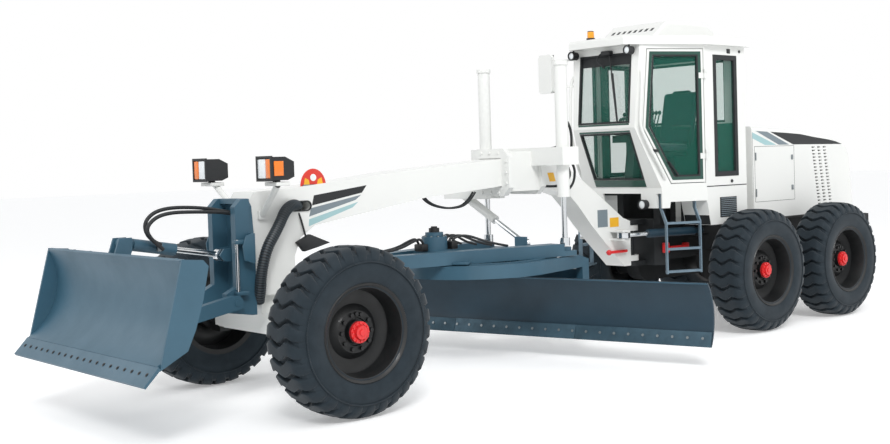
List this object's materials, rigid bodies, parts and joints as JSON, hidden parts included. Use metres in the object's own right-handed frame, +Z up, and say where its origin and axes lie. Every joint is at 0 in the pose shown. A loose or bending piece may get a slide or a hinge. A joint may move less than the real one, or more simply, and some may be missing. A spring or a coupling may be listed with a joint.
{
  "type": "motor grader",
  "caption": "Articulated motor grader with a mid-mounted grading blade on a turning circle, a front dozer blade and an enclosed cab.",
  "frame": {"origin": "on the ground under the middle of the machine, halfway between the front and back ends and between the sides", "axes": "+X forward, +Y to the driver's left, +Z up"},
  "size_m": [10.22, 4.1721, 3.395],
  "materials": {
    "body_paint": "semi-gloss off-white enamel",
    "frame_paint": "satin charcoal enamel",
    "dark_paint": "satin black enamel",
    "blade_paint": "satin slate blue enamel",
    "rim_paint": "satin black enamel",
    "tyre_rubber": "matte rubber",
    "chrome": "hard chrome plating",
    "glass": "green tinted safety glass",
    "seat_fabric": "black woven fabric",
    "dark_plastic": "matte black plastic"
  },
  "bodies": {
    "rear_frame": {"rear_chassis": "frame_paint", "rear_axle": "dark_paint", "tandem_cases": "frame_paint", "engine_block": "dark_paint", "hood": "body_paint", "cab_base": "body_paint", "cab_frame": "body_paint", "cab_glass": "glass", "cab_roof": "body_paint", "cab_lamps": "dark_plastic", "ladders": "blade_paint", "driver_seat": "seat_fabric", "control_console": "dark_plastic"},
    "door_left": {"door_left": "body_paint", "door_glass_left": "glass"},
    "door_right": {"door_right": "body_paint", "door_glass_right": "glass"},
    "front_frame": {"front_frame": "body_paint", "lift_saddle": "body_paint", "lift_barrels": "body_paint", "headlamps": "dark_plastic", "front_axle": "body_paint", "dozer_mount": "blade_paint"},
    "lean_left": {"lean_left": "body_paint"},
    "lean_right": {"lean_right": "body_paint"},
    "knuckle_left": {"knuckle_left": "dark_paint"},
    "knuckle_right": {"knuckle_right": "dark_paint"},
    "tie_rod": {"tie_rod": "dark_paint"},
    "lean_bar": {"lean_bar": "chrome"},
    "drawbar": {"drawbar": "blade_paint"},
    "lift_rods": {"lift_rods": "chrome"},
    "circle": {"circle": "blade_paint"},
    "blade_carrier": {"blade_carrier": "blade_paint"},
    "moldboard": {"moldboard": "blade_paint"},
    "swing_barrel": {"swing_barrel": "dark_paint"},
    "swing_rod": {"swing_rod": "chrome"},
    "dozer": {"dozer_blade": "blade_paint"},
    "dozer_barrel": {"dozer_barrel": "dark_paint"},
    "dozer_rod": {"dozer_rod": "chrome"},
    "articulation_left_barrel": {"articulation_left_barrel": "dark_paint"},
    "articulation_left_rod": {"articulation_left_rod": "chrome"},
    "articulation_right_barrel": {"articulation_right_barrel": "dark_paint"},
    "articulation_right_rod": {"articulation_right_rod": "chrome"},
    "wheel_front_left": {"rim_front_left": "rim_paint", "tyre_front_left": "tyre_rubber"},
    "wheel_mid_left": {"rim_mid_left": "rim_paint", "tyre_mid_left": "tyre_rubber"},
    "wheel_rear_left": {"rim_rear_left": "rim_paint", "tyre_rear_left": "tyre_rubber"},
    "wheel_front_right": {"rim_front_right": "rim_paint", "tyre_front_right": "tyre_rubber"},
    "wheel_mid_right": {"rim_mid_right": "rim_paint", "tyre_mid_right": "tyre_rubber"},
    "wheel_rear_right": {"rim_rear_right": "rim_paint", "tyre_rear_right": "tyre_rubber"}
  },
  "joints": [
    {"name": "articulation", "type": "hinge", "parent": "rear_frame", "child": "front_frame", "pos_m": [-1.13, 0, 0.995], "axis": [0, 0, 1], "range_deg": [-27, 27]},
    {"name": "door_left_hinge", "type": "hinge", "parent": "rear_frame", "child": "door_left", "pos_m": [-1.48358, 0.81356, 2.36], "axis": [0, 0, 1], "range_deg": [0, 95]},
    {"name": "door_right_hinge", "type": "hinge", "parent": "rear_frame", "child": "door_right", "pos_m": [-1.48358, -0.81356, 2.36], "axis": [0, 0, -1], "range_deg": [0, 95]},
    {"name": "wheel_front_left_spin", "type": "hinge", "parent": "knuckle_left", "child": "wheel_front_left", "pos_m": [3.39, 1.105, 0.66633], "axis": [0, 1, 0], "continuous": true},
    {"name": "wheel_mid_left_spin", "type": "hinge", "parent": "rear_frame", "child": "wheel_mid_left", "pos_m": [-2.055, 1.03, 0.66633], "axis": [0, 1, 0], "continuous": true},
    {"name": "wheel_rear_left_spin", "type": "hinge", "parent": "rear_frame", "child": "wheel_rear_left", "pos_m": [-3.605, 1.03, 0.66633], "axis": [0, 1, 0], "continuous": true},
    {"name": "wheel_front_right_spin", "type": "hinge", "parent": "knuckle_right", "child": "wheel_front_right", "pos_m": [3.39, -1.105, 0.66633], "axis": [0, 1, 0], "continuous": true},
    {"name": "wheel_mid_right_spin", "type": "hinge", "parent": "rear_frame", "child": "wheel_mid_right", "pos_m": [-2.055, -1.03, 0.66633], "axis": [0, 1, 0], "continuous": true},
    {"name": "wheel_rear_right_spin", "type": "hinge", "parent": "rear_frame", "child": "wheel_rear_right", "pos_m": [-3.605, -1.03, 0.66633], "axis": [0, 1, 0], "continuous": true},
    {"name": "wheel_lean", "type": "hinge", "parent": "front_frame", "child": "lean_left", "pos_m": [3.39, 0.76, 0.62], "axis": [-1, 0, 0], "range_deg": [-17, 17]},
    {"name": "lean_right_pivot", "type": "hinge", "parent": "front_frame", "child": "lean_right", "pos_m": [3.39, -0.76, 0.62], "axis": [-1, 0, 0], "range_deg": [-17.5, 17.5]},
    {"name": "lean_bar_slide", "type": "slide", "parent": "front_frame", "child": "lean_bar", "axis": [0, 1, 0], "range_m": [-0.072, 0.072]},
    {"name": "steering", "type": "hinge", "parent": "lean_left", "child": "knuckle_left", "pos_m": [3.39, 0.88, 0.67], "axis": [0, 0, 1], "range_deg": [-45, 45]},
    {"name": "steer_right_pivot", "type": "hinge", "parent": "lean_right", "child": "knuckle_right", "pos_m": [3.39, -0.88, 0.67], "axis": [0, 0, 1], "range_deg": [-45.5, 45.5]},
    {"name": "tie_rod_slide", "type": "slide", "parent": "front_frame", "child": "tie_rod", "axis": [0, 1, 0], "range_m": [-0.104, 0.104]},
    {"name": "blade_lift", "type": "hinge", "parent": "front_frame", "child": "drawbar", "pos_m": [3.13, 0, 1], "axis": [0, 1, 0], "range_deg": [-16.5, 5.5]},
    {"name": "lift_rods_slide", "type": "slide", "parent": "front_frame", "child": "lift_rods", "axis": [0, 0, 1], "range_m": [-0.77, 0.26]},
    {"name": "swing_barrel_pivot", "type": "hinge", "parent": "front_frame", "child": "swing_barrel", "pos_m": [0.65, -0.8, 1.64], "axis": [1, 0, 0], "range_deg": [-26.6, 9]},
    {"name": "swing_rod_slide", "type": "slide", "parent": "swing_barrel", "child": "swing_rod", "axis": [0, 0.8872, -0.4614], "range_m": [-0.126, 0.376]},
    {"name": "circle_turn", "type": "hinge", "parent": "drawbar", "child": "circle", "pos_m": [1.09, 0, 0.93], "axis": [0, 0, -1], "range_deg": [-28, 58]},
    {"name": "blade_tilt", "type": "hinge", "parent": "circle", "child": "blade_carrier", "pos_m": [0.47067, -0.16132, 0.33], "axis": [-0.2521, 0.9677, 0], "range_deg": [-18, 20]},
    {"name": "side_shift", "type": "slide", "parent": "blade_carrier", "child": "moldboard", "axis": [-0.2521, 0.9677, 0], "range_m": [-0.7, 0.5]},
    {"name": "dozer_lift", "type": "hinge", "parent": "front_frame", "child": "dozer", "pos_m": [3.9, 0, 0.88], "axis": [0, -1, 0], "range_deg": [-30, 5]},
    {"name": "dozer_barrel_pivot", "type": "hinge", "parent": "dozer", "child": "dozer_barrel", "pos_m": [4.69, 0, 1.4], "axis": [0, -1, 0], "range_deg": [-0.3, 1.7]},
    {"name": "dozer_rod_slide", "type": "slide", "parent": "dozer_barrel", "child": "dozer_rod", "axis": [-0.9837, 0, -0.1799], "range_m": [-0.0316, 0.19]},
    {"name": "articulation_left_pivot", "type": "hinge", "parent": "rear_frame", "child": "articulation_left_barrel", "pos_m": [-1.7, 0.52, 1.11], "axis": [0, 0, 1], "range_deg": [-8.7, 8.7]},
    {"name": "articulation_left_slide", "type": "slide", "parent": "articulation_left_barrel", "child": "articulation_left_rod", "axis": [0.969, -0.2472, 0], "range_m": [-0.17, 0.17]},
    {"name": "articulation_right_pivot", "type": "hinge", "parent": "rear_frame", "child": "articulation_right_barrel", "pos_m": [-1.7, -0.52, 1.11], "axis": [0, 0, 1], "range_deg": [-8.7, 8.7]},
    {"name": "articulation_right_slide", "type": "slide", "parent": "articulation_right_barrel", "child": "articulation_right_rod", "axis": [0.969, 0.2472, 0], "range_m": [-0.17, 0.17]}
  ],
  "couplings": [
    {"joint": "lean_right_pivot", "follows": "wheel_lean", "ratio": 1},
    {"joint": "lean_bar_slide", "follows": "wheel_lean", "m_per_rad": 0.236},
    {"joint": "steer_right_pivot", "follows": "steering", "ratio": 1},
    {"joint": "tie_rod_slide", "follows": "steering", "m_per_rad": -0.13},
    {"joint": "lift_rods_slide", "follows": "blade_lift", "m_per_rad": 2.66},
    {"joint": "swing_barrel_pivot", "follows": "blade_lift", "ratio": 1.6},
    {"joint": "swing_rod_slide", "follows": "blade_lift", "m_per_rad": -1.3},
    {"joint": "dozer_barrel_pivot", "follows": "dozer_lift", "ratio": -0.055},
    {"joint": "dozer_rod_slide", "follows": "dozer_lift", "m_per_rad": -0.361},
    {"joint": "articulation_left_pivot", "follows": "articulation", "ratio": 0.319},
    {"joint": "articulation_left_slide", "follows": "articulation", "m_per_rad": -0.3587},
    {"joint": "articulation_right_pivot", "follows": "articulation", "ratio": 0.319},
    {"joint": "articulation_right_slide", "follows": "articulation", "m_per_rad": 0.3587}
  ]
}
